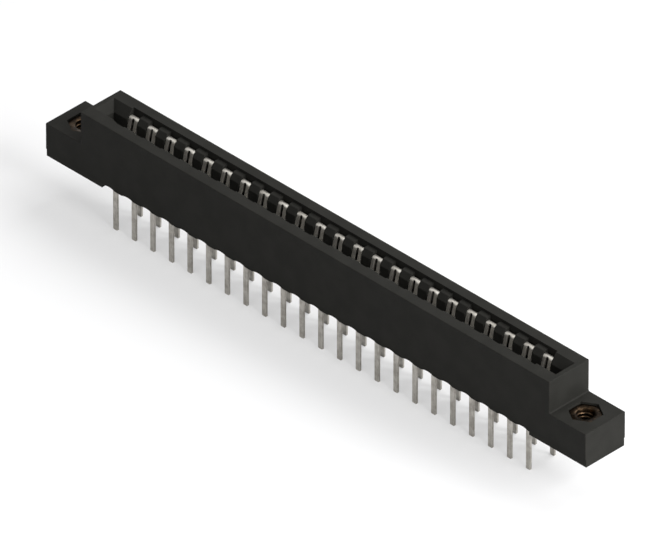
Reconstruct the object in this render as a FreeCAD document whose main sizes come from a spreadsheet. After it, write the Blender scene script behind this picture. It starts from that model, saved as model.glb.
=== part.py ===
import FreeCAD, Part

import math
import os

import Sketcher

# Card edge connector with two rows of contacts, soldered into a board by its tails.
# X runs along the connector, Y across it with the front at -Y, and Z up.
# The origin is under the middle of the connector, in the plane of the tail tips.

SHEET_VALUES = (
    # contacts along the connector
    ("positions", 23),
    ("pitch", 3.9624),
    ("row_spacing", 5.08),
    # moulded insulator
    ("end_margin", 5.77),
    ("body_width", 8.41),
    ("body_height", 11.74),
    ("ear_length", 7.55),
    ("ear_thickness", 6.05),
    ("edge_radius", 0.12),
    ("ear_root_radius", 0.25),
    ("skirt_height", 1.4),
    ("skirt_inset", 0.2),
    ("standoff_height", 0.54),
    ("standoff_reach", 4.3),
    ("scallop_width", 2.55),
    ("scallop_depth", 0.27),
    # card slot and its mouth
    ("card_slot_width", 1.86),
    ("card_slot_depth", 8.38),
    ("slot_end_wall", 1.9),
    ("lead_in", 1.1),
    ("lead_in_depth", 1.55),
    ("pocket_mouth_width", 4.8),
    ("pocket_width", 2.05),
    ("pocket_depth", 9.0),
    ("pocket_lip_depth", 2.0),
    ("rib_drop", 0.55),
    ("rib_lead_radius", 1.05),
    # contacts
    ("stock", 0.33),
    ("contact_width", 1.84),
    ("slit_width", 0.52),
    ("slit_drop", 1.06),
    ("slit_reach", 1.62),
    ("tail_length", 7.7),
    ("tail_width", 0.9),
    ("tail_chamfer", 0.1),
    ("tail_clearance", 0.03),
    ("tail_overlap", 1.2),
    ("jog_drop", 4.7),
    ("jog_radius", 1.5),
    ("bend_radius", 0.355),
    ("bend_offset", 1.68),
    ("bend_drop", 1.47),
    ("nose_gap", 1.04),
    ("nose_drop", 4.0),
    ("nose_radius", 1.2),
    ("free_end_offset", 1.3),
    ("free_end_drop", 6.9),
    # threaded inserts in the ears
    ("insert_offset", 3.424),
    ("insert_across_flats", 4.76),
    ("insert_height", 4.2),
    ("insert_recess", 0.35),
    ("insert_bore", 2.3),
    ("insert_chamfer", 0.3),
    ("screw_clearance_bore", 3.2),
)

SHEET_FORMULAS = (
    ("row_length", "(positions - 1) * pitch"),
    ("body_length", "row_length + 2 * end_margin"),
    ("overall_length", "body_length + 2 * ear_length"),
    ("ear_top", "tail_length + ear_thickness"),
    ("top_face", "tail_length + body_height"),
    ("floor_level", "top_face - pocket_depth"),
    ("row_offset", "row_spacing / 2"),
    ("pocket_back", "row_offset + stock / 2 + tail_clearance"),
    ("leg_offset", "bend_offset + bend_radius"),
    ("nose_offset", "(nose_gap + stock) / 2 + nose_radius"),
    ("insert_place", "body_length / 2 + insert_offset"),
    ("insert_top", "ear_top - insert_recess"),
)

SHEET = "Sizes"
SAME = 1e-6

doc = FreeCAD.newDocument("CardEdgeConnector")
sheet = doc.addObject("Spreadsheet::Sheet", SHEET)
for row, (alias, value) in enumerate(SHEET_VALUES, start=1):
    sheet.set("A%d" % row, alias)
    sheet.set("B%d" % row, str(value))
    sheet.setAlias("B%d" % row, alias)
for row, (alias, formula) in enumerate(SHEET_FORMULAS, start=len(SHEET_VALUES) + 1):
    sheet.set("A%d" % row, alias)
    sheet.set("B%d" % row, "=" + formula)
    sheet.setAlias("B%d" % row, alias)
doc.recompute()


def size(alias):
    """Value of a named cell, for first guesses at geometry."""
    return float(sheet.get(alias))


def cells(formula):
    """The same formula with each alias written as a reference into the sheet."""
    words = []
    word = ""
    for letter in formula + " ":
        if letter.isalnum() or letter == "_":
            word += letter
            continue
        known = any(word == alias for alias, _ in SHEET_VALUES + SHEET_FORMULAS)
        words.append("<<%s>>.%s" % (SHEET, word) if known else word)
        words.append(letter)
        word = ""
    return "".join(words).strip()


def vector(x, y):
    return FreeCAD.Vector(x, y, 0)


# Sketches

def new_body(name):
    body = doc.addObject("PartDesign::Body", name)
    body.Label = name
    return body


def new_sketch(body, name, role, offset=None):
    """Empty sketch on an origin plane of the body, moved along its normal by a formula."""
    sketch = body.newObject("Sketcher::SketchObject", name)
    plane = next(item for item in body.Origin.OriginFeatures if item.Role == role)
    sketch.AttachmentSupport = [(plane, "")]
    sketch.MapMode = "FlatFace"
    if offset:
        sketch.setExpression("AttachmentOffset.Base.z", cells(offset))
    return sketch


def dimension(sketch, name, formula, kind, *places):
    """Named dimension of a sketch, tied to a formula on the sheet."""
    index = sketch.addConstraint(Sketcher.Constraint(kind, *places))
    sketch.renameConstraint(index, name)
    sketch.setExpression("Constraints." + name, cells(formula))


def closed_lines(sketch, points):
    """Closed chain of lines through first guesses at its corners."""
    count = len(points)
    for index in range(count):
        following = points[(index + 1) % count]
        sketch.addGeometry(Part.LineSegment(vector(*points[index]), vector(*following)))
    for index in range(count):
        sketch.addConstraint(Sketcher.Constraint("Coincident", index, 2, (index + 1) % count, 1))


def rectangle(sketch, width, height, centre_x=None, centre_y=None, first=(1.0, 1.0, 0.0, 0.0)):
    """Rectangle of two formulas, about the origin or about a centre point of two formulas."""
    half_x, half_y, middle_x, middle_y = first
    closed_lines(sketch, [
        (middle_x - half_x, middle_y - half_y),
        (middle_x + half_x, middle_y - half_y),
        (middle_x + half_x, middle_y + half_y),
        (middle_x - half_x, middle_y + half_y),
    ])
    for index, kind in enumerate(("Horizontal", "Vertical", "Horizontal", "Vertical")):
        sketch.addConstraint(Sketcher.Constraint(kind, index))
    if centre_x is None and centre_y is None:
        sketch.addConstraint(Sketcher.Constraint("Symmetric", 0, 1, 2, 1, -1, 1))
    else:
        middle = sketch.addGeometry(Part.Point(vector(middle_x, middle_y)), True)
        sketch.addConstraint(Sketcher.Constraint("Symmetric", 0, 1, 2, 1, middle, 1))
        if centre_x is None:
            sketch.addConstraint(Sketcher.Constraint("PointOnObject", middle, 1, -2))
        else:
            dimension(sketch, "centre_x", centre_x, "DistanceX", -1, 1, middle, 1, middle_x)
        if centre_y is None:
            sketch.addConstraint(Sketcher.Constraint("PointOnObject", middle, 1, -1))
        else:
            dimension(sketch, "centre_y", centre_y, "DistanceY", -1, 1, middle, 1, middle_y)
    dimension(sketch, "width", width, "DistanceX", 0, 1, 0, 2, 2 * half_x)
    dimension(sketch, "height", height, "DistanceY", 1, 1, 1, 2, 2 * half_y)


def hexagon(sketch, across_flats, centre_x, flats, place):
    """Hexagon with two flats across X, from two formulas and first guesses."""
    reach = flats / math.sqrt(3)
    corners = [math.radians(90 + 60 * index) for index in range(6)]
    closed_lines(sketch, [(place + reach * math.cos(a), reach * math.sin(a)) for a in corners])
    around = Part.Circle(vector(place, 0), FreeCAD.Vector(0, 0, 1), reach)
    ring = sketch.addGeometry(around, True)
    for index in range(6):
        sketch.addConstraint(Sketcher.Constraint("PointOnObject", index, 1, ring))
    for index in range(1, 6):
        sketch.addConstraint(Sketcher.Constraint("Equal", 0, index))
    sketch.addConstraint(Sketcher.Constraint("Vertical", 0, 1, ring, 3))
    if centre_x is None:
        sketch.addConstraint(Sketcher.Constraint("Coincident", ring, 3, -1, 1))
    else:
        sketch.addConstraint(Sketcher.Constraint("PointOnObject", ring, 3, -1))
        dimension(sketch, "centre_x", centre_x, "DistanceX", -1, 1, ring, 3, place)
    dimension(sketch, "across_flats", across_flats, "DistanceX", 1, 1, 5, 1, flats)


def circle(sketch, diameter, first, centre_x=None, place=0.0):
    """Circle on the X axis of the sketch, at its origin or at a formula."""
    sketch.addGeometry(Part.Circle(vector(place, 0), FreeCAD.Vector(0, 0, 1), first / 2))
    if centre_x is None:
        sketch.addConstraint(Sketcher.Constraint("Coincident", 0, 3, -1, 1))
    else:
        sketch.addConstraint(Sketcher.Constraint("PointOnObject", 0, 3, -1))
        dimension(sketch, "centre_x", centre_x, "DistanceX", -1, 1, 0, 3, place)
    dimension(sketch, "diameter", diameter, "Diameter", 0, first)


# Features

def pad(body, name, sketch, length, midplane=False, reversed_side=False):
    feature = body.newObject("PartDesign::Pad", name)
    feature.Profile = sketch
    feature.SideType = "Symmetric" if midplane else "One side"
    feature.Reversed = reversed_side
    feature.setExpression("Length", cells(length))
    return feature


def pocket(body, name, sketch, depth=None, midplane=False, reversed_side=False):
    """Cut of a depth given by a formula, or right through where there is none."""
    feature = body.newObject("PartDesign::Pocket", name)
    feature.Profile = sketch
    feature.SideType = "Symmetric" if midplane else "One side"
    feature.Reversed = reversed_side
    if depth is None:
        feature.Type = "ThroughAll"
    else:
        feature.setExpression("Length", cells(depth))
    return feature


def fillet(body, name, base, radius, chosen):
    """Rounded edges of the shape so far, chosen by a test of each edge."""
    doc.recompute()
    edges = ["Edge%d" % (index + 1) for index, edge in enumerate(base.Shape.Edges) if chosen(edge)]
    feature = body.newObject("PartDesign::Fillet", name)
    feature.Base = (base, edges)
    feature.setExpression("Radius", cells(radius))
    return feature


def repeat_along_row(body, name, features):
    """Copies of cuts at each contact position, from the first to the last."""
    pattern = body.newObject("PartDesign::LinearPattern", name)
    pattern.Originals = features
    axis = next(item for item in body.Origin.OriginFeatures if item.Role == "X_Axis")
    pattern.Direction = (axis, [""])
    pattern.setExpression("Length", cells("row_length"))
    pattern.setExpression("Occurrences", cells("positions"))
    body.Tip = pattern
    return pattern


# Insulator: one black moulding with an ear at each end

def make_insulator():
    body = new_body("insulator")
    first_place = "-row_length / 2"

    sketch = new_sketch(body, "side_outline", "XZ_Plane")
    side_profile(sketch)
    blank = pad(body, "blank", sketch, "body_width", midplane=True)
    fillet(body, "outline_edges", blank, "edge_radius", is_outline_edge)

    # stand-offs stay under the ears and a little way in, and the middle is raised
    sketch = new_sketch(body, "underside_outline", "XY_Plane", "tail_length")
    rectangle(sketch, "body_length - 2 * standoff_reach", "2 * body_width",
              first=(size("body_length") / 2 - size("standoff_reach"), size("body_width"), 0, 0))
    pocket(body, "raised_underside", sketch, "standoff_height", reversed_side=True)

    # the skirt sets back the foot of each long side
    for side, sign in (("front", "-"), ("back", "")):
        sketch = new_sketch(body, "skirt_%s_outline" % side, "XY_Plane", "tail_length")
        place = size("body_width") / 2 * (-1 if sign else 1)
        rectangle(sketch, "2 * overall_length", "2 * skirt_inset", None, sign + "body_width / 2",
                  first=(size("overall_length"), size("skirt_inset"), 0, place))
        pocket(body, "skirt_" + side, sketch, "skirt_height", reversed_side=True)

    # card slot, with a slanted lead-in on all four sides of its mouth
    sketch = new_sketch(body, "slot_outline", "XY_Plane", "top_face")
    rectangle(sketch, "body_length - 2 * slot_end_wall", "card_slot_width",
              first=(size("body_length") / 2 - size("slot_end_wall"), size("card_slot_width") / 2, 0, 0))
    pocket(body, "card_slot", sketch, "card_slot_depth")

    mouth = new_sketch(body, "mouth_outline", "XY_Plane", "top_face")
    rectangle(mouth, "body_length - 2 * slot_end_wall + 2 * lead_in", "card_slot_width + 2 * lead_in",
              first=(size("body_length") / 2, size("card_slot_width"), 0, 0))
    throat = new_sketch(body, "throat_outline", "XY_Plane", "top_face - lead_in_depth")
    rectangle(throat, "body_length - 2 * slot_end_wall", "card_slot_width",
              first=(size("body_length") / 2, size("card_slot_width"), 0, 0))
    loft = body.newObject("PartDesign::SubtractiveLoft", "mouth_lead_in")
    loft.Profile = mouth
    loft.Sections = [throat]
    loft.Ruled = True

    # along the contacts the mouth is wider, and the ribs stand lower with a rounded lead-in
    sketch = new_sketch(body, "wide_mouth_outline", "XY_Plane", "top_face")
    rectangle(sketch, "row_length + pocket_width", "pocket_mouth_width",
              first=(size("row_length") / 2, size("pocket_mouth_width") / 2, 0, 0))
    pocket(body, "wide_mouth", sketch, "rib_drop")

    sketch = new_sketch(body, "rib_lead_outline", "YZ_Plane")
    rib_lead_profile(sketch)
    pocket(body, "rib_lead_in", sketch, "row_length + pocket_width", midplane=True)

    # one pocket across both rows, then a slot for each tail
    sketch = new_sketch(body, "pocket_section", "YZ_Plane", first_place)
    pocket_profile(sketch)
    chamber = pocket(body, "contact_pocket", sketch, "pocket_width", midplane=True)
    repeat_along_row(body, "contact_pockets", [chamber])

    for side, sign in (("front", "-"), ("back", "")):
        sketch = new_sketch(body, "tail_hole_%s_outline" % side, "XY_Plane", "floor_level + stock")
        row = size("row_offset") * (-1 if sign else 1)
        rectangle(sketch, "tail_width + 2 * tail_clearance", "stock + 2 * tail_clearance",
                  first_place, sign + "row_offset",
                  first=(size("tail_width") / 2, size("stock") / 2, -size("row_length") / 2, row))
        hole = pocket(body, "tail_hole_" + side, sketch)
        repeat_along_row(body, "tail_holes_" + side, [hole])

    # shallow scallops under each contact position
    sketch = new_sketch(body, "scallop_outline", "XZ_Plane")
    scallop_profile(sketch)
    scallop = pocket(body, "scallop", sketch, "2 * body_width", midplane=True)
    repeat_along_row(body, "scallops", [scallop])

    # hexagonal seat and screw hole in each ear
    for side, sign in (("left", "-"), ("right", "")):
        place = size("insert_place") * (-1 if sign else 1)
        sketch = new_sketch(body, "insert_seat_%s_outline" % side, "XY_Plane", "ear_top")
        hexagon(sketch, "insert_across_flats", sign + "insert_place", size("insert_across_flats"), place)
        pocket(body, "insert_seat_" + side, sketch, "insert_height + insert_recess")
        sketch = new_sketch(body, "screw_hole_%s_outline" % side, "XY_Plane", "ear_top")
        circle(sketch, "screw_clearance_bore", size("screw_clearance_bore"), sign + "insert_place", place)
        body.Tip = pocket(body, "screw_hole_" + side, sketch)
    return body


def side_profile(sketch):
    """Outline of the moulding from the front: a raised body with an ear at each end."""
    ear_end = size("overall_length") / 2
    body_end = size("body_length") / 2
    seat = size("tail_length")
    ear_top = size("ear_top")
    top = size("top_face")
    root = size("ear_root_radius")
    normal = FreeCAD.Vector(0, 0, 1)

    def chain(*points):
        for start, end in zip(points, points[1:]):
            sketch.addGeometry(Part.LineSegment(vector(*start), vector(*end)))

    def root_bend(side, start_angle):
        bend = Part.Circle(vector(side * (body_end + root), ear_top + root), normal, root)
        sketch.addGeometry(Part.ArcOfCircle(bend, start_angle, start_angle + math.pi / 2))

    chain((-ear_end, seat), (ear_end, seat), (ear_end, ear_top), (body_end + root, ear_top))
    root_bend(1, math.pi)
    chain((body_end, ear_top + root), (body_end, top), (-body_end, top), (-body_end, ear_top + root))
    root_bend(-1, 3 * math.pi / 2)
    chain((-body_end - root, ear_top), (-ear_end, ear_top), (-ear_end, seat))
    for joint in ((0, 2, 1, 1), (1, 2, 2, 1), (4, 2, 5, 1), (5, 2, 6, 1), (8, 2, 9, 1), (9, 2, 0, 1)):
        sketch.addConstraint(Sketcher.Constraint("Coincident", *joint))
    for joint in ((2, 2, 3, 2), (3, 1, 4, 1), (6, 2, 7, 2), (7, 1, 8, 1)):
        sketch.addConstraint(Sketcher.Constraint("Tangent", *joint))
    for line in (2, 8):
        sketch.addConstraint(Sketcher.Constraint("Horizontal", line))
    for line in (1, 4, 6, 9):
        sketch.addConstraint(Sketcher.Constraint("Vertical", line))
    sketch.addConstraint(Sketcher.Constraint("Equal", 3, 7))
    sketch.addConstraint(Sketcher.Constraint("Symmetric", 0, 1, 0, 2, -2))
    sketch.addConstraint(Sketcher.Constraint("Symmetric", 5, 1, 5, 2, -2))
    sketch.addConstraint(Sketcher.Constraint("Horizontal", 1, 2, 9, 1))
    dimension(sketch, "overall_length", "overall_length", "DistanceX", 0, 1, 0, 2, 2 * ear_end)
    dimension(sketch, "body_length", "body_length", "DistanceX", 5, 2, 5, 1, 2 * body_end)
    dimension(sketch, "seat_level", "tail_length", "DistanceY", -1, 1, 0, 1, seat)
    dimension(sketch, "ear_top", "ear_top", "DistanceY", -1, 1, 1, 2, ear_top)
    dimension(sketch, "top_face", "top_face", "DistanceY", -1, 1, 5, 2, top)
    dimension(sketch, "root_radius", "ear_root_radius", "Radius", 3, root)


def is_outline_edge(edge):
    """True for an edge around a long face or across an end at the top, but not at the underside."""
    first, last = (edge.valueAt(place) for place in edge.ParameterRange)
    face = size("body_width") / 2
    along = is_same(abs(first.y), face) and is_same(first.y, last.y)
    across = is_same(first.x, last.x) and is_same(first.z, last.z)
    at_seat = is_same(first.z, size("tail_length")) and is_same(last.z, first.z)
    at_top = is_same(first.z, size("top_face"))
    at_ear_end = is_same(first.z, size("ear_top")) and is_same(abs(first.x), size("overall_length") / 2)
    return (along and not at_seat) or (across and (at_top or at_ear_end))


def is_same(first, second):
    return abs(first - second) < SAME


def rib_lead_profile(sketch):
    """Mouth of the slot between the ribs: straight at the slot wall, flaring in a quarter round."""
    half = size("card_slot_width") / 2
    flare = size("rib_lead_radius")
    rim = size("top_face") - size("rib_drop")
    root = rim - flare
    lid = size("top_face")
    normal = FreeCAD.Vector(0, 0, 1)
    sketch.addGeometry(Part.LineSegment(vector(-half, root), vector(half, root)))
    arc = Part.ArcOfCircle(Part.Circle(vector(half + flare, root), normal, flare), math.pi / 2, math.pi)
    sketch.addGeometry(arc)
    sketch.addGeometry(Part.LineSegment(vector(half + flare, rim), vector(half + flare, lid)))
    sketch.addGeometry(Part.LineSegment(vector(half + flare, lid), vector(-half - flare, lid)))
    sketch.addGeometry(Part.LineSegment(vector(-half - flare, lid), vector(-half - flare, rim)))
    arc = Part.ArcOfCircle(Part.Circle(vector(-half - flare, root), normal, flare), 0, math.pi / 2)
    sketch.addGeometry(arc)
    joints = ((0, 2, 1, 2), (1, 1, 2, 1), (2, 2, 3, 1), (3, 2, 4, 1), (4, 2, 5, 2), (5, 1, 0, 1))
    for joint in joints:
        sketch.addConstraint(Sketcher.Constraint("Coincident", *joint))
    sketch.addConstraint(Sketcher.Constraint("Horizontal", 3))
    for line in (2, 4):
        sketch.addConstraint(Sketcher.Constraint("Vertical", line))
    sketch.addConstraint(Sketcher.Constraint("Symmetric", 0, 1, 0, 2, -2))
    sketch.addConstraint(Sketcher.Constraint("Equal", 1, 5))
    sketch.addConstraint(Sketcher.Constraint("Horizontal", 1, 3, 0, 2))
    sketch.addConstraint(Sketcher.Constraint("Vertical", 1, 3, 1, 1))
    sketch.addConstraint(Sketcher.Constraint("Horizontal", 5, 3, 0, 1))
    sketch.addConstraint(Sketcher.Constraint("Vertical", 5, 3, 5, 2))
    dimension(sketch, "throat_width", "card_slot_width", "DistanceX", 0, 1, 0, 2, 2 * half)
    dimension(sketch, "flare", "rib_lead_radius", "Radius", 1, flare)
    dimension(sketch, "rim_level", "top_face - rib_drop", "DistanceY", -1, 1, 2, 1, rim)
    dimension(sketch, "lid_level", "top_face", "DistanceY", -1, 1, 3, 1, lid)


def pocket_profile(sketch):
    """Pocket across both rows: open at the mouth, and deeper behind the lip that backs each leg."""
    mouth = size("pocket_mouth_width") / 2
    back = size("pocket_back")
    top = size("top_face")
    lip = top - size("pocket_lip_depth")
    floor = size("floor_level")
    closed_lines(sketch, [(-mouth, top), (-mouth, lip), (-back, lip), (-back, floor),
                          (back, floor), (back, lip), (mouth, lip), (mouth, top)])
    for line in (0, 2, 4, 6):
        sketch.addConstraint(Sketcher.Constraint("Vertical", line))
    for line in (1, 5):
        sketch.addConstraint(Sketcher.Constraint("Horizontal", line))
    sketch.addConstraint(Sketcher.Constraint("Symmetric", 7, 1, 7, 2, -2))
    sketch.addConstraint(Sketcher.Constraint("Symmetric", 3, 1, 3, 2, -2))
    sketch.addConstraint(Sketcher.Constraint("Horizontal", 0, 2, 5, 2))
    dimension(sketch, "mouth_width", "pocket_mouth_width", "DistanceX", 7, 2, 7, 1, 2 * mouth)
    dimension(sketch, "back_width", "2 * pocket_back", "DistanceX", 3, 1, 3, 2, 2 * back)
    dimension(sketch, "top_level", "top_face", "DistanceY", -1, 1, 7, 2, top)
    dimension(sketch, "lip_level", "top_face - pocket_lip_depth", "DistanceY", -1, 1, 0, 2, lip)
    dimension(sketch, "floor_level", "floor_level", "DistanceY", -1, 1, 3, 1, floor)


def scallop_profile(sketch):
    """Segment of a circle in the underside at the first contact position."""
    centre = -size("row_length") / 2
    half = size("scallop_width") / 2
    depth = size("scallop_depth")
    level = size("tail_length") + size("standoff_height")
    radius = (half * half + depth * depth) / (2 * depth)
    reach = math.asin(half / radius)
    middle = vector(centre, level + depth - radius)
    arc = Part.ArcOfCircle(Part.Circle(middle, FreeCAD.Vector(0, 0, 1), radius),
                           math.pi / 2 - reach, math.pi / 2 + reach)
    sketch.addGeometry(arc)
    sketch.addGeometry(Part.LineSegment(vector(centre - half, level), vector(centre + half, level)))
    sketch.addConstraint(Sketcher.Constraint("Coincident", 0, 2, 1, 1))
    sketch.addConstraint(Sketcher.Constraint("Coincident", 0, 1, 1, 2))
    sketch.addConstraint(Sketcher.Constraint("Horizontal", 1))
    point = sketch.addGeometry(Part.Point(vector(centre, level)), True)
    sketch.addConstraint(Sketcher.Constraint("Symmetric", 1, 1, 1, 2, point, 1))
    dimension(sketch, "place", "-row_length / 2", "DistanceX", -1, 1, point, 1, centre)
    dimension(sketch, "level", "tail_length + standoff_height", "DistanceY", -1, 1, point, 1, level)
    dimension(sketch, "width", "scallop_width", "DistanceX", 1, 1, 1, 2, 2 * half)
    dimension(sketch, "radius", "(scallop_width ^ 2 / 4 + scallop_depth ^ 2) / (2 * scallop_depth)",
              "Radius", 0, radius)


# Contacts: a strip folded over at the top, split into two fingers, with a narrow tail

def make_contact(name, index, turned):
    """Contact of the front row at one position, or turned half round for the back row."""
    body = new_body(name)
    path = new_sketch(body, name + "_path", "YZ_Plane")
    strip_path(path)
    section = new_sketch(body, name + "_section", "XY_Plane", "floor_level")
    rectangle(section, "contact_width", "stock", None, "-row_offset",
              first=(size("contact_width") / 2, size("stock") / 2, 0, -size("row_offset")))
    strip = body.newObject("PartDesign::AdditivePipe", name + "_strip")
    strip.Profile = section
    strip.Spine = (path, ["Edge%d" % (edge + 1) for edge in range(8)])

    slit = new_sketch(body, name + "_slit_outline", "XZ_Plane")
    slit_profile(slit)
    pocket(body, name + "_slit", slit, "slit_reach", reversed_side=True)

    tail = new_sketch(body, name + "_tail_outline", "XZ_Plane", "row_offset")
    tail_profile(tail)
    body.Tip = pad(body, name + "_tail", tail, "stock", midplane=True)

    place = "(%d - (positions - 1) / 2) * pitch" % index
    if turned:
        body.Placement.Rotation = FreeCAD.Rotation(FreeCAD.Vector(0, 0, 1), 180)
    body.setExpression("Placement.Base.x", cells(place))
    return body


def strip_path(sketch):
    """Middle line of the strip, from its shoulder up over the bend and down to its free end."""
    row = -size("row_offset")
    leg = -size("leg_offset")
    top = size("top_face")
    floor = size("floor_level")
    jog_level = top - size("jog_drop")
    jog = size("jog_radius")
    shift = leg - row
    jog_rise = math.sqrt(4 * jog * shift - shift * shift)
    jog_turn = math.asin(jog_rise / (2 * jog))
    bend = vector(-size("bend_offset"), top - size("bend_drop"))
    bend_radius = size("bend_radius")
    nose = vector(-size("nose_offset"), top - size("nose_drop"))
    nose_radius = size("nose_radius")
    end = vector(-size("free_end_offset"), top - size("free_end_drop"))

    drop = nose - bend
    slope = math.atan2(drop.y, drop.x) + math.acos((bend_radius - nose_radius) / drop.Length)
    fall = end - nose
    sweep = math.atan2(fall.y, fall.x) + math.acos(nose_radius / fall.Length)

    def on_circle(centre, radius, angle):
        return vector(centre.x + radius * math.cos(angle), centre.y + radius * math.sin(angle))

    normal = FreeCAD.Vector(0, 0, 1)
    low = Part.Circle(vector(row + jog, jog_level), normal, jog)
    high = Part.Circle(vector(leg - jog, jog_level + jog_rise), normal, jog)
    leg_end = vector(leg, bend.y)
    sketch.addGeometry(Part.LineSegment(vector(row, floor), vector(row, jog_level)))
    sketch.addGeometry(Part.ArcOfCircle(low, math.pi - jog_turn, math.pi))
    sketch.addGeometry(Part.ArcOfCircle(high, -jog_turn, 0))
    sketch.addGeometry(Part.LineSegment(vector(leg, jog_level + jog_rise), leg_end))
    sketch.addGeometry(Part.ArcOfCircle(Part.Circle(bend, normal, bend_radius), slope, math.pi))
    sketch.addGeometry(Part.LineSegment(on_circle(bend, bend_radius, slope),
                                        on_circle(nose, nose_radius, slope)))
    sketch.addGeometry(Part.ArcOfCircle(Part.Circle(nose, normal, nose_radius), sweep, slope))
    sketch.addGeometry(Part.LineSegment(on_circle(nose, nose_radius, sweep), end))
    joints = ((0, 2, 1, 2), (1, 1, 2, 1), (2, 2, 3, 1), (3, 2, 4, 2), (4, 1, 5, 1), (5, 2, 6, 2), (6, 1, 7, 1))
    for joint in joints:
        sketch.addConstraint(Sketcher.Constraint("Tangent", *joint))
    for line in (0, 3):
        sketch.addConstraint(Sketcher.Constraint("Vertical", line))
    sketch.addConstraint(Sketcher.Constraint("Equal", 1, 2))
    dimension(sketch, "row", "-row_offset", "DistanceX", -1, 1, 0, 1, row)
    dimension(sketch, "shoulder", "floor_level", "DistanceY", -1, 1, 0, 1, floor)
    dimension(sketch, "jog_level", "top_face - jog_drop", "DistanceY", -1, 1, 0, 2, jog_level)
    dimension(sketch, "jog_radius", "jog_radius", "Radius", 1, jog)
    dimension(sketch, "bend_place", "-bend_offset", "DistanceX", -1, 1, 4, 3, bend.x)
    dimension(sketch, "bend_level", "top_face - bend_drop", "DistanceY", -1, 1, 4, 3, bend.y)
    dimension(sketch, "bend_radius", "bend_radius", "Radius", 4, bend_radius)
    dimension(sketch, "nose_place", "-nose_offset", "DistanceX", -1, 1, 6, 3, nose.x)
    dimension(sketch, "nose_level", "top_face - nose_drop", "DistanceY", -1, 1, 6, 3, nose.y)
    dimension(sketch, "nose_radius", "nose_radius", "Radius", 6, nose_radius)
    dimension(sketch, "end_place", "-free_end_offset", "DistanceX", -1, 1, 7, 2, end.x)
    dimension(sketch, "end_level", "top_face - free_end_drop", "DistanceY", -1, 1, 7, 2, end.y)


def slit_profile(sketch):
    """Slit between the fingers: round just under the bend, and open past the free end."""
    half = size("slit_width") / 2
    root = size("top_face") - size("slit_drop") - half
    foot = size("floor_level")
    round_end = Part.Circle(vector(0, root), FreeCAD.Vector(0, 0, 1), half)
    sketch.addGeometry(Part.ArcOfCircle(round_end, 0, math.pi))
    sketch.addGeometry(Part.LineSegment(vector(-half, root), vector(-half, foot)))
    sketch.addGeometry(Part.LineSegment(vector(-half, foot), vector(half, foot)))
    sketch.addGeometry(Part.LineSegment(vector(half, foot), vector(half, root)))
    sketch.addConstraint(Sketcher.Constraint("Tangent", 0, 2, 1, 1))
    sketch.addConstraint(Sketcher.Constraint("Coincident", 1, 2, 2, 1))
    sketch.addConstraint(Sketcher.Constraint("Coincident", 2, 2, 3, 1))
    sketch.addConstraint(Sketcher.Constraint("Tangent", 3, 2, 0, 1))
    sketch.addConstraint(Sketcher.Constraint("Vertical", 1))
    sketch.addConstraint(Sketcher.Constraint("Vertical", 3))
    sketch.addConstraint(Sketcher.Constraint("Symmetric", 2, 1, 2, 2, -2))
    dimension(sketch, "width", "slit_width", "DistanceX", 2, 1, 2, 2, 2 * half)
    dimension(sketch, "root", "top_face - slit_drop - slit_width / 2", "DistanceY", -1, 1, 0, 3, root)
    dimension(sketch, "foot", "floor_level", "DistanceY", -1, 1, 2, 1, foot)


def tail_profile(sketch):
    """Tail from inside the strip down to its chamfered tip in the plane of the origin."""
    half = size("tail_width") / 2
    cut = size("tail_chamfer")
    root = size("floor_level") + size("tail_overlap")
    closed_lines(sketch, [(-half, root), (-half, cut), (-half + cut, 0),
                          (half - cut, 0), (half, cut), (half, root)])
    sketch.addConstraint(Sketcher.Constraint("Vertical", 0))
    sketch.addConstraint(Sketcher.Constraint("Horizontal", 2))
    sketch.addConstraint(Sketcher.Constraint("Symmetric", 2, 1, 2, 2, -1, 1))
    sketch.addConstraint(Sketcher.Constraint("Symmetric", 0, 1, 5, 1, -2))
    sketch.addConstraint(Sketcher.Constraint("Symmetric", 0, 2, 4, 1, -2))
    dimension(sketch, "width", "tail_width", "DistanceX", 0, 1, 5, 1, 2 * half)
    dimension(sketch, "root", "floor_level + tail_overlap", "DistanceY", -1, 1, 0, 1, root)
    dimension(sketch, "chamfer_rise", "tail_chamfer", "DistanceY", 2, 1, 0, 2, cut)
    dimension(sketch, "chamfer_run", "tail_chamfer", "DistanceX", 0, 2, 2, 1, cut)


# Inserts: hexagonal brass nuts seated in the ears

def make_insert(name, sign):
    body = new_body(name)
    sketch = new_sketch(body, name + "_outline", "XY_Plane", "insert_top - insert_height")
    hexagon(sketch, "insert_across_flats", None, size("insert_across_flats"), 0.0)
    pad(body, name + "_blank", sketch, "insert_height")
    sketch = new_sketch(body, name + "_bore_outline", "XY_Plane", "insert_top")
    circle(sketch, "insert_bore", size("insert_bore"))
    bore = pocket(body, name + "_bore", sketch)
    doc.recompute()
    rims = ["Edge%d" % (index + 1) for index, edge in enumerate(bore.Shape.Edges)
            if isinstance(edge.Curve, Part.Circle)]
    chamfer = body.newObject("PartDesign::Chamfer", name + "_rims")
    chamfer.Base = (bore, rims)
    chamfer.setExpression("Size", cells("insert_chamfer"))
    body.Tip = chamfer
    body.setExpression("Placement.Base.x", cells(sign + "insert_place"))
    return body


sub_parts = [make_insulator()]
for position in range(int(size("positions"))):
    sub_parts.append(make_contact("contact_front_%02d" % (position + 1), position, False))
    sub_parts.append(make_contact("contact_back_%02d" % (position + 1), position, True))
sub_parts.append(make_insert("insert_left", "-"))
sub_parts.append(make_insert("insert_right", ""))
doc.recompute()

failed = [item.Name for item in doc.Objects if "Invalid" in item.State or "Error" in item.State]
if failed:
    raise RuntimeError("objects that failed: " + ", ".join(failed))
for sub_part in sub_parts:
    if sub_part.Shape.isNull() or not sub_part.Shape.isValid():
        raise RuntimeError("shape that is not valid: " + sub_part.Label)
    if len(sub_part.Shape.Solids) != 1:
        raise RuntimeError("shape that is not one solid: " + sub_part.Label)

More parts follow.
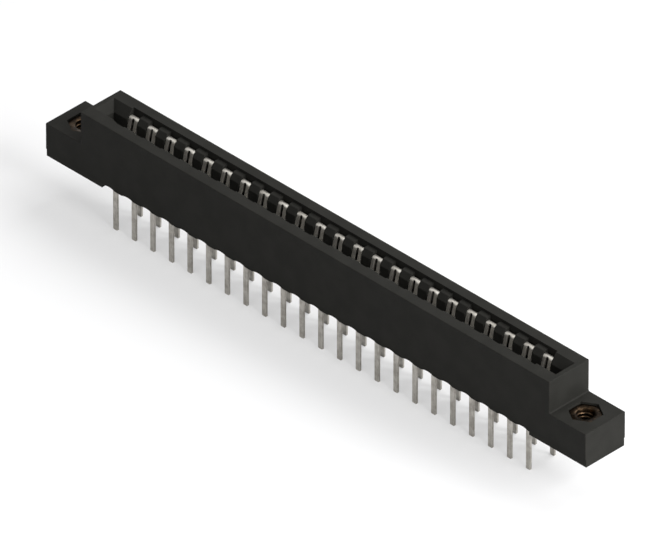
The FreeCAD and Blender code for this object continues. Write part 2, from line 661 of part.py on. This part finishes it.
os.makedirs("parts", exist_ok=True)
for sub_part in sub_parts:
    sub_part.Shape.exportStep("parts/%s.step" % sub_part.Label)
    print(sub_part.Label, round(sub_part.Shape.Volume, 4))
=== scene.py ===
"""Studio view of a card edge connector: black moulded body, plated contacts, brass inserts."""

import logging
import math
from dataclasses import dataclass, field
from enum import Enum
from typing import Union

import bmesh
import bpy
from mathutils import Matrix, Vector

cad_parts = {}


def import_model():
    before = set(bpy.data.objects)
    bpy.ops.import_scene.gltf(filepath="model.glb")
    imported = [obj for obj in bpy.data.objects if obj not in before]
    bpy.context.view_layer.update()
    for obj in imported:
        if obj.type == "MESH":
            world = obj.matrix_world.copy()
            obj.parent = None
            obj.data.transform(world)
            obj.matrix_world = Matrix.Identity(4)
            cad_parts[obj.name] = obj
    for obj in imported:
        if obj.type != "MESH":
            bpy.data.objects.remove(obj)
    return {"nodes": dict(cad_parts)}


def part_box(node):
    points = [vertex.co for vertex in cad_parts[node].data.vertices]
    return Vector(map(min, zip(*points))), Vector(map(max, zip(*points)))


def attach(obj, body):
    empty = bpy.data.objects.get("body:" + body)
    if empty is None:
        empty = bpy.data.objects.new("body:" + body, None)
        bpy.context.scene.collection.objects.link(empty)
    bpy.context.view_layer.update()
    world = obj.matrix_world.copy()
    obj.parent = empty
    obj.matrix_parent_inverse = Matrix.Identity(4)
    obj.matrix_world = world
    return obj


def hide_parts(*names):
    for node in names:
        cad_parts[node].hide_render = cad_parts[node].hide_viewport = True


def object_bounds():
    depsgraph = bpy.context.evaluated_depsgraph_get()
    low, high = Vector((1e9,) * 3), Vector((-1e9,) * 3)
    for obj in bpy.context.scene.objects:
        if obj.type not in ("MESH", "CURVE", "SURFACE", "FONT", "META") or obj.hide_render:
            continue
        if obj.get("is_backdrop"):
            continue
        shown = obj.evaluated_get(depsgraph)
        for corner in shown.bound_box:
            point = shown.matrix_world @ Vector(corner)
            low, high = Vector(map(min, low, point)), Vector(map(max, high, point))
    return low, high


LOG = logging.getLogger("card_edge_connector")
MM = 0.001
BODY = "root"

Colour = tuple[float, float, float]
Point = tuple[float, float, float]
SocketValue = Union[float, tuple, "Signal", bpy.types.NodeSocket]


class Side(Enum):
    """The two long sides of the connector."""

    FRONT = "front"
    BACK = "back"


class End(Enum):
    """The two mounting ears."""

    LEFT = "left"
    RIGHT = "right"


# Shader building


class Signal:
    """A shader value that Python's operators carry on with Math nodes."""

    def __init__(self, board: "ShaderBoard", socket: bpy.types.NodeSocket) -> None:
        """Hold a socket and the board that it is on."""
        self.board = board
        self.socket = socket

    def math(self, operation: str, *others: SocketValue, first: bool = True) -> "Signal":
        """Add a Math node on this value.

        Args:
            operation: The Math node's operation.
            others: The node's other values, in order.
            first: Whether this value comes before the others.

        Returns:
            The node's result.
        """
        values = (self, *others) if first else (*others, self)
        node = self.board.node("ShaderNodeMath", {"operation": operation}, dict(enumerate(values)))
        return Signal(self.board, node.outputs[0])

    def __add__(self, other: SocketValue) -> "Signal":
        """Sum."""
        return self.math("ADD", other)

    __radd__ = __add__

    def __sub__(self, other: SocketValue) -> "Signal":
        """Difference."""
        return self.math("SUBTRACT", other)

    def __rsub__(self, other: SocketValue) -> "Signal":
        """Difference with this value taken away."""
        return self.math("SUBTRACT", other, first=False)

    def __mul__(self, other: SocketValue) -> "Signal":
        """Product."""
        return self.math("MULTIPLY", other)

    __rmul__ = __mul__

    def __abs__(self) -> "Signal":
        """Size without its sign."""
        return self.math("ABSOLUTE")

    def between(self, low: float, high: float) -> "Signal":
        """Share of the way from low to high, smooth at both ends and held there.

        Args:
            low: Value that gives 0.
            high: Value that gives 1.

        Returns:
            The share.
        """
        node = self.board.node(
            "ShaderNodeMapRange",
            {"interpolation_type": "SMOOTHSTEP"},
            {"Value": self, "From Min": low, "From Max": high},
        )
        return Signal(self.board, node.outputs["Result"])


class ShaderBoard:
    """Node tree of one material or of the world, with one way to add a node."""

    def __init__(self, owner: Union[bpy.types.Material, bpy.types.World]) -> None:
        """Take over the owner's tree and empty it."""
        owner.use_nodes = True
        self.tree = owner.node_tree
        self.tree.nodes.clear()

    def node(
        self, kind: str, settings: dict[str, object], sockets: dict[Union[str, int], SocketValue]
    ) -> bpy.types.Node:
        """Add a node.

        Args:
            kind: Blender's type name of the node.
            settings: Properties set first, and a ramp's stops under "stops".
            sockets: Values or links by socket name or number.

        Returns:
            The new node.
        """
        node = self.tree.nodes.new(kind)
        for name, value in settings.items():
            if name == "stops":
                self._set_stops(node.color_ramp, value)
            else:
                setattr(node, name, value)
        for key, value in sockets.items():
            socket = node.inputs[key]
            if isinstance(value, Signal):
                self.tree.links.new(value.socket, socket)
            elif isinstance(value, bpy.types.NodeSocket):
                self.tree.links.new(value, socket)
            else:
                socket.default_value = value
        return node

    @staticmethod
    def _set_stops(ramp: bpy.types.ColorRamp, stops: list[tuple[float, Colour]]) -> None:
        """Give a colour ramp its stops, from first to last."""
        while len(ramp.elements) < len(stops):
            ramp.elements.new(1.0)
        for element, (place, colour) in zip(ramp.elements, stops):
            element.position = place
            element.color = (*colour, 1.0)

    def place(self) -> bpy.types.NodeSocket:
        """Object coordinates, in metres from the connector's origin."""
        return self.node("ShaderNodeTexCoord", {}, {}).outputs["Object"]

    def stretched(self, scale: Point) -> bpy.types.NodeSocket:
        """Object coordinates with each axis scaled.

        Args:
            scale: Factor along X, Y and Z.

        Returns:
            The scaled coordinates.
        """
        node = self.node("ShaderNodeMapping", {}, {"Vector": self.place(), "Scale": scale})
        return node.outputs["Vector"]

    def noise(self, where: bpy.types.NodeSocket, scale: float, detail: float) -> Signal:
        """Cloudy pattern from 0 to 1, about 0.5 in its middle.

        Args:
            where: Coordinates that it follows.
            scale: Features in a unit of those coordinates.
            detail: Finer layers.

        Returns:
            The pattern.
        """
        sockets = {"Vector": where, "Scale": scale, "Detail": detail}
        node = self.node("ShaderNodeTexNoise", {"noise_dimensions": "3D"}, sockets)
        return Signal(self, node.outputs[0])

    def blend(self, share: Signal, low: Colour, high: Colour) -> bpy.types.NodeSocket:
        """Colour between two colours.

        Args:
            share: 0 for the first colour and 1 for the second.
            low: First colour.
            high: Second colour.

        Returns:
            The colour.
        """
        node = self.node("ShaderNodeValToRGB", {"stops": [(0.0, low), (1.0, high)]}, {"Fac": share})
        return node.outputs["Color"]

    def bump(self, height: Signal, depth: float) -> bpy.types.NodeSocket:
        """Normal of a surface with fine relief.

        Args:
            height: Relief from 0 to 1.
            depth: Metres from 0 to 1.

        Returns:
            The normal.
        """
        sockets = {"Height": height, "Distance": depth, "Strength": 1.0}
        node = self.node("ShaderNodeBump", {}, sockets)
        return node.outputs["Normal"]

    def surface(self, sockets: dict[str, SocketValue]) -> None:
        """Finish the material with one Principled shader.

        Args:
            sockets: Values or links of its sockets.
        """
        shader = self.node("ShaderNodeBsdfPrincipled", {}, sockets)
        self.node("ShaderNodeOutputMaterial", {}, {"Surface": shader.outputs[0]})


# Finishes


@dataclass(frozen=True)
class MouldedPlastic:
    """Black moulded thermoplastic: satin, with a fine grain and faint flow clouds."""

    name: str = "moulded_black_plastic"
    dark: Colour = (0.0158, 0.0156, 0.0140)
    light: Colour = (0.0194, 0.0191, 0.0172)
    roughness: float = 0.5
    roughness_spread: float = 0.1
    gloss: float = 0.03
    grain_scale: float = 5200.0
    grain_depth: float = 0.004 * MM
    grain_layers: float = 3.0
    cloud_scale: float = 320.0
    cloud_layers: float = 4.0
    grain_share: float = 0.3
    tone_range: tuple[float, float] = (0.35, 0.65)

    def make(self) -> bpy.types.Material:
        """Build the material."""
        material = bpy.data.materials.new(self.name)
        board = ShaderBoard(material)
        where = board.place()
        grain = board.noise(where, self.grain_scale, self.grain_layers)
        cloud = board.noise(where, self.cloud_scale, self.cloud_layers)
        mixed = cloud * (1.0 - self.grain_share) + grain * self.grain_share
        tone = mixed.between(*self.tone_range)
        smoothest = self.roughness - self.roughness_spread / 2
        board.surface({
            "Base Color": board.blend(tone, self.dark, self.light),
            "Roughness": cloud * self.roughness_spread + smoothest,
            "Specular IOR Level": self.gloss,
            "Normal": board.bump(grain, self.grain_depth),
        })
        return material


@dataclass(frozen=True)
class PlatedStrip:
    """Tin-plated spring strip: bright, drawn along the strip, slightly duller in clouds."""

    name: str = "tin_plated_strip"
    dull: Colour = (0.33, 0.314, 0.282)
    bright: Colour = (0.52, 0.50, 0.46)
    roughness: float = 0.4
    roughness_spread: float = 0.16
    streak_scale: Point = (9000.0, 9000.0, 260.0)
    streak_depth: float = 0.0012 * MM
    streak_layers: float = 2.0
    cloud_scale: float = 900.0
    cloud_layers: float = 3.0
    streak_share: float = 0.35
    tone_range: tuple[float, float] = (0.32, 0.68)

    def make(self) -> bpy.types.Material:
        """Build the material."""
        material = bpy.data.materials.new(self.name)
        board = ShaderBoard(material)
        streak = board.noise(board.stretched(self.streak_scale), 1.0, self.streak_layers)
        cloud = board.noise(board.place(), self.cloud_scale, self.cloud_layers)
        mixed = cloud * (1.0 - self.streak_share) + streak * self.streak_share
        tone = mixed.between(*self.tone_range)
        board.surface({
            "Base Color": board.blend(tone, self.dull, self.bright),
            "Metallic": 1.0,
            "Roughness": (1.0 - tone) * self.roughness_spread + self.roughness,
            "Normal": board.bump(streak, self.streak_depth),
        })
        return material


@dataclass(frozen=True)
class TurnedBrass:
    """Dull brass with the fine rings that a cutting tool leaves around each insert's axis."""

    axis_x: float
    name: str = "turned_brass"
    dark: Colour = (0.014, 0.0095, 0.006)
    light: Colour = (0.050, 0.032, 0.0185)
    roughness: float = 0.24
    ring_pitch: float = 0.09 * MM
    ring_depth: float = 0.0015 * MM
    ring_share: float = 0.6
    roughness_spread: float = 0.2
    stain_scale: float = 1100.0
    stain_layers: float = 4.0
    tone_range: tuple[float, float] = (0.34, 0.66)

    def make(self) -> bpy.types.Material:
        """Build the material."""
        material = bpy.data.materials.new(self.name)
        board = ShaderBoard(material)
        split = board.node("ShaderNodeSeparateXYZ", {}, {"Vector": board.place()})
        along = abs(Signal(board, split.outputs["X"])) - self.axis_x
        across = Signal(board, split.outputs["Y"])
        radius = (along * along + across * across).math("SQRT")
        rings = (radius * (2 * math.pi / self.ring_pitch)).math("SINE") * 0.5 + 0.5
        stain = board.noise(board.place(), self.stain_scale, self.stain_layers)
        tone = stain.between(*self.tone_range)
        relief = rings * self.ring_share + stain * (1.0 - self.ring_share)
        board.surface({
            "Base Color": board.blend(tone, self.dark, self.light),
            "Metallic": 1.0,
            "Roughness": (1.0 - tone) * self.roughness_spread + self.roughness,
            "Normal": board.bump(relief, self.ring_depth),
        })
        return material


# Pieces of the connector


def finished_piece(
    name: str, mesh: bmesh.types.BMesh, material: bpy.types.Material
) -> bpy.types.Object:
    """Make an object at the origin from a shape, with even shading over its rounded edges.

    Args:
        name: Name of the piece.
        mesh: Its shape, which is freed.
        material: Its finish.

    Returns:
        The object.
    """
    for face in mesh.faces:
        face.smooth = True
    data = bpy.data.meshes.new(name)
    mesh.to_mesh(data)
    mesh.free()
    data.materials.append(material)
    piece = bpy.data.objects.new(name, data)
    bpy.context.scene.collection.objects.link(piece)
    shading = piece.modifiers.new("even_shading", "WEIGHTED_NORMAL")
    shading.keep_sharp = True
    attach(piece, BODY)
    return piece


@dataclass
class Insulator:
    """The black moulding: its solid is shown as it is, with the plastic's finish."""

    finish: MouldedPlastic = field(default_factory=MouldedPlastic)
    node: str = "insulator"

    def dress(self, nodes: dict[str, bpy.types.Object]) -> None:
        """Give the moulding its material.

        Args:
            nodes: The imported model's nodes by name.
        """
        material = self.finish.make()
        for slot in nodes[self.node].material_slots:
            slot.material = material
        LOG.info("%s: %s", self.node, material.name)


@dataclass
class ContactRow:
    """One row of folded contacts, with the stamped strip's edges eased."""

    side: Side
    positions: int = 23
    edge_ease: float = 0.035 * MM
    edge_steps: int = 2
    merge_distance: float = 0.0005 * MM
    flat_angle: float = math.radians(0.5)
    corner_angle: float = math.radians(40)

    def build(self, nodes: dict[str, bpy.types.Object], material: bpy.types.Material) -> None:
        """Make each contact of the row in place of its solid.

        Args:
            nodes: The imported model's nodes by name.
            material: The contacts' finish.
        """
        for position in range(1, self.positions + 1):
            node = "contact_%s_%02d" % (self.side.value, position)
            piece = finished_piece(node + "_plated", self._eased(nodes[node]), material)
            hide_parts(node)
        LOG.info("%s row: %d contacts", self.side.value, self.positions)

    def _eased(self, node: bpy.types.Object) -> bmesh.types.BMesh:
        """Copy of a contact's shape with its corners eased.

        Args:
            node: The contact's solid.

        Returns:
            The eased shape.
        """
        mesh = bmesh.new()
        mesh.from_mesh(node.data)
        bmesh.ops.remove_doubles(mesh, verts=mesh.verts, dist=self.merge_distance)
        bmesh.ops.dissolve_limit(
            mesh, angle_limit=self.flat_angle, verts=mesh.verts, edges=mesh.edges
        )
        corners = [edge for edge in mesh.edges if edge.calc_face_angle(0.0) > self.corner_angle]
        bmesh.ops.bevel(
            mesh, geom=corners, offset=self.edge_ease, affect="EDGES", segments=self.edge_steps,
            profile=0.5, material=-1, clamp_overlap=True,
        )
        return mesh


@dataclass
class ThreadedInsert:
    """Hexagonal brass insert with a chamfered blank and a cut thread."""

    end: End
    chamfer_drop: float = 0.1 * MM
    mouth_radius: float = 1.45 * MM
    root_radius: float = 1.42 * MM
    crest_radius: float = 1.15 * MM
    thread_pitch: float = 0.635 * MM
    thread_start: float = 0.32 * MM
    thread_half: float = 0.46
    crest_start: float = 0.88
    crest_end: float = 1.12
    thread_sink: float = 0.03 * MM
    around: int = 96
    thread_steps: int = 40
    flats: int = 6
    merge_distance: float = 0.0005 * MM
    cut_distance: float = 0.0001 * MM

    def build(self, material: bpy.types.Material) -> None:
        """Make the insert in place of its solid.

        Args:
            material: The insert's finish.
        """
        node = "insert_" + self.end.value
        low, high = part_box(node)
        piece = finished_piece(node + "_threaded", self._shape(low, high), material)
        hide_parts(node)
        LOG.info("%s: threaded", node)

    def _shape(self, low: Vector, high: Vector) -> bmesh.types.BMesh:
        """Blank turned, cut to six flats and threaded.

        Args:
            low: Lowest corner of the space it fills.
            high: Highest corner of that space.

        Returns:
            The shape.
        """
        mesh = bmesh.new()
        axis = Vector(((low.x + high.x) / 2, (low.y + high.y) / 2, 0.0))
        self._turn_blank(mesh, axis, low, high)
        self._cut_flats(mesh, axis, (high.x - low.x) / 2)
        self._wind_thread(mesh, axis, low.z + self.thread_start, high.z - self.thread_start)
        return mesh

    def _turn_blank(
        self, mesh: bmesh.types.BMesh, axis: Vector, low: Vector, high: Vector
    ) -> None:
        """Spin the blank's half section: a ring with chamfered outer rims and a bore.

        Args:
            mesh: Shape that it is added to.
            axis: Point on the insert's axis.
            low: Lowest corner of the space it fills.
            high: Highest corner of that space.
        """
        corner = (high.y - low.y) / 2
        flat = (high.x - low.x) / 2
        lip = self.mouth_radius - self.root_radius
        section = (
            (self.mouth_radius, low.z),
            (flat, low.z),
            (corner, low.z + self.chamfer_drop),
            (corner, high.z - self.chamfer_drop),
            (flat, high.z),
            (self.mouth_radius, high.z),
            (self.root_radius, high.z - lip),
            (self.root_radius, low.z + lip),
        )
        points = [mesh.verts.new((axis.x + radius, axis.y, level)) for radius, level in section]
        edges = [mesh.edges.new((a, b)) for a, b in zip(points, points[1:] + points[:1])]
        bmesh.ops.spin(
            mesh, geom=points + edges, cent=axis, axis=(0, 0, 1), angle=2 * math.pi,
            steps=self.around, use_merge=True,
        )
        bmesh.ops.remove_doubles(mesh, verts=mesh.verts, dist=self.merge_distance)
        bmesh.ops.recalc_face_normals(mesh, faces=mesh.faces)

    def _cut_flats(self, mesh: bmesh.types.BMesh, axis: Vector, reach: float) -> None:
        """Cut six flats on the round blank.

        Args:
            mesh: The blank.
            axis: Point on the insert's axis.
            reach: Distance from the axis to a flat.
        """
        for index in range(self.flats):
            angle = index * 2 * math.pi / self.flats
            outward = Vector((math.cos(angle), math.sin(angle), 0.0))
            geometry = mesh.verts[:] + mesh.edges[:] + mesh.faces[:]
            cut = bmesh.ops.bisect_plane(
                mesh, geom=geometry, plane_co=axis + outward * reach, plane_no=outward,
                clear_outer=True, dist=self.cut_distance,
            )["geom_cut"]
            rim = [item for item in cut if isinstance(item, bmesh.types.BMEdge)]
            bmesh.ops.edgeloop_fill(mesh, edges=rim)

    def _wind_thread(
        self, mesh: bmesh.types.BMesh, axis: Vector, bottom: float, top: float
    ) -> None:
        """Wind the thread's ridge up the wall of the bore.

        Args:
            mesh: Shape that it is added to.
            axis: Point on the insert's axis.
            bottom: Level where the ridge starts.
            top: Level where it ends.
        """
        half = self.thread_pitch * self.thread_half
        turns = (top - bottom - 2 * half) / self.thread_pitch
        steps = round(turns * self.thread_steps)
        rise = (top - bottom - 2 * half) / steps
        wall = self.root_radius + self.thread_sink
        section = (
            (wall, bottom),
            (self.crest_radius, bottom + half * self.crest_start),
            (self.crest_radius, bottom + half * self.crest_end),
            (wall, bottom + 2 * half),
        )
        points = [mesh.verts.new((axis.x + radius, axis.y, level)) for radius, level in section]
        bmesh.ops.spin(
            mesh, geom=[mesh.faces.new(points)], cent=axis, axis=(0, 0, 1), dvec=(0, 0, rise),
            angle=2 * math.pi * turns, steps=steps, use_merge=False,
        )
        bmesh.ops.recalc_face_normals(mesh, faces=mesh.faces)


# Studio


@dataclass(frozen=True)
class Softbox:
    """Square area lamp that faces the connector."""

    name: str
    direction: Point
    level: float
    distance: float = 0.7
    side: float = 0.5

    def hang(self, aim: Vector) -> None:
        """Place the lamp.

        Args:
            aim: Point that it faces, where level is the light on a surface turned to it.
        """
        data = bpy.data.lights.new(self.name, "AREA")
        data.shape = "SQUARE"
        data.size = self.side
        data.energy = self.level * (math.pi * self.distance) ** 2
        lamp = bpy.data.objects.new(self.name, data)
        outward = Vector(self.direction).normalized()
        lamp.location = aim + outward * self.distance
        lamp.rotation_mode = "QUATERNION"
        lamp.rotation_quaternion = outward.to_track_quat("Z", "Y")
        bpy.context.scene.collection.objects.link(lamp)


@dataclass
class Studio:
    """Pale floor, soft lamps and a white surround."""

    ambient: float = 0.28
    floor_colour: Colour = (0.72, 0.72, 0.725)
    floor_radius: float = 0.55
    floor_sides: int = 96
    fade_start: float = 0.07
    fade_end: float = 0.14
    veil: float = 0.4
    lamps: tuple[Softbox, ...] = (
        Softbox("key", (0.15, 0.65, 0.95), 0.6),
        Softbox("overhead", (0.0, -0.35, 1.0), 0.28),
        Softbox("right_fill", (0.95, 0.1, 0.5), 1.85),
    )

    def build(self, aim: Vector) -> None:
        """Make the floor, the surround and the lamps.

        Args:
            aim: Middle of the connector.
        """
        self._lay_floor()
        self._surround()
        for lamp in self.lamps:
            lamp.hang(aim)
        LOG.info("studio: floor, surround and %d lamps", len(self.lamps))

    def _lay_floor(self) -> None:
        """Lay a round floor at the level of the tail tips."""
        mesh = bmesh.new()
        bmesh.ops.create_circle(
            mesh, cap_ends=True, segments=self.floor_sides, radius=self.floor_radius
        )
        data = bpy.data.meshes.new("floor")
        mesh.to_mesh(data)
        mesh.free()
        data.materials.append(self._floor_finish())
        floor = bpy.data.objects.new("floor", data)
        bpy.context.scene.collection.objects.link(floor)
        floor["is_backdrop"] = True

    def _floor_finish(self) -> bpy.types.Material:
        """Matte white that keeps shadows near the connector and is plain white further out."""
        material = bpy.data.materials.new("floor_white")
        board = ShaderBoard(material)
        away = board.node("ShaderNodeVectorMath", {"operation": "LENGTH"}, {0: board.place()})
        far = Signal(board, away.outputs["Value"]).between(self.fade_start, self.fade_end)
        camera = board.node("ShaderNodeLightPath", {}, {}).outputs["Is Camera Ray"]
        matte = board.node("ShaderNodeBsdfDiffuse", {}, {"Color": (*self.floor_colour, 1.0)})
        white = board.node("ShaderNodeEmission", {}, {"Strength": 1.0})
        share = (far * (1.0 - self.veil) + self.veil) * camera
        mixed = board.node(
            "ShaderNodeMixShader", {}, {"Fac": share, 1: matte.outputs[0], 2: white.outputs[0]}
        )
        board.node("ShaderNodeOutputMaterial", {}, {"Surface": mixed.outputs[0]})
        return material

    def _surround(self) -> None:
        """White where it is seen, mirrored or seen through, and softer as a source of light."""
        world = bpy.data.worlds.new("surround")
        bpy.context.scene.world = world
        board = ShaderBoard(world)
        rays = board.node("ShaderNodeLightPath", {}, {})
        seen = Signal(board, rays.outputs["Is Camera Ray"])
        for name in ("Is Glossy Ray", "Is Transmission Ray"):
            seen = seen.math("MAXIMUM", rays.outputs[name])
        level = seen * (1.0 - self.ambient) + self.ambient
        sockets = {"Color": (1.0, 1.0, 1.0, 1.0), "Strength": level}
        light = board.node("ShaderNodeBackground", {}, sockets)
        board.node("ShaderNodeOutputWorld", {}, {"Surface": light.outputs[0]})


@dataclass(frozen=True)
class PhotoCamera:
    """Camera with a very long lens, which draws the connector almost without perspective."""

    azimuth: float = 45.0
    elevation: float = 35.264
    lens: float = 1300.0
    sensor: float = 36.0
    frame_width: float = 99.3 * MM
    aim_x: float = 0.0
    aim_drop: float = 7.78 * MM

    def place(self, top: float) -> None:
        """Set the camera up.

        Args:
            top: Level of the connector's top face.
        """
        azimuth = math.radians(self.azimuth)
        elevation = math.radians(self.elevation)
        back = Vector((
            math.sin(azimuth) * math.cos(elevation),
            -math.cos(azimuth) * math.cos(elevation),
            math.sin(elevation),
        ))
        distance = self.frame_width * self.lens / self.sensor
        data = bpy.data.cameras.new("photo_camera")
        data.lens = self.lens
        data.sensor_width = self.sensor
        data.clip_start = distance / 10
        data.clip_end = distance * 3
        camera = bpy.data.objects.new("photo_camera", data)
        camera.location = Vector((self.aim_x, 0.0, top - self.aim_drop)) + back * distance
        camera.rotation_mode = "QUATERNION"
        camera.rotation_quaternion = (-back).to_track_quat("-Z", "Y")
        bpy.context.scene.collection.objects.link(camera)
        bpy.context.scene.camera = camera
        LOG.info("camera: %.2f m away", distance)


def corners(box: tuple[Vector, Vector]) -> list[list[float]]:
    """A box's two corners as plain lists."""
    return [list(corner) for corner in box]


def main() -> None:
    """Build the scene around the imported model, one sub-assembly after another."""
    logging.basicConfig(level=logging.INFO, format="%(name)s: %(message)s")
    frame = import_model()
    solid_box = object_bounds()
    nodes = frame["nodes"]

    Insulator().dress(nodes)
    plating = PlatedStrip().make()
    for side in Side:
        ContactRow(side).build(nodes, plating)
    low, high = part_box("insert_right")
    brass = TurnedBrass(axis_x=(low.x + high.x) / 2).make()
    for end in End:
        ThreadedInsert(end).build(brass)

    low, high = solid_box
    Studio().build((low + high) / 2)
    PhotoCamera().place(high.z)
    bpy.context.scene.view_settings.view_transform = "Standard"


if __name__ == "__main__":
    main()
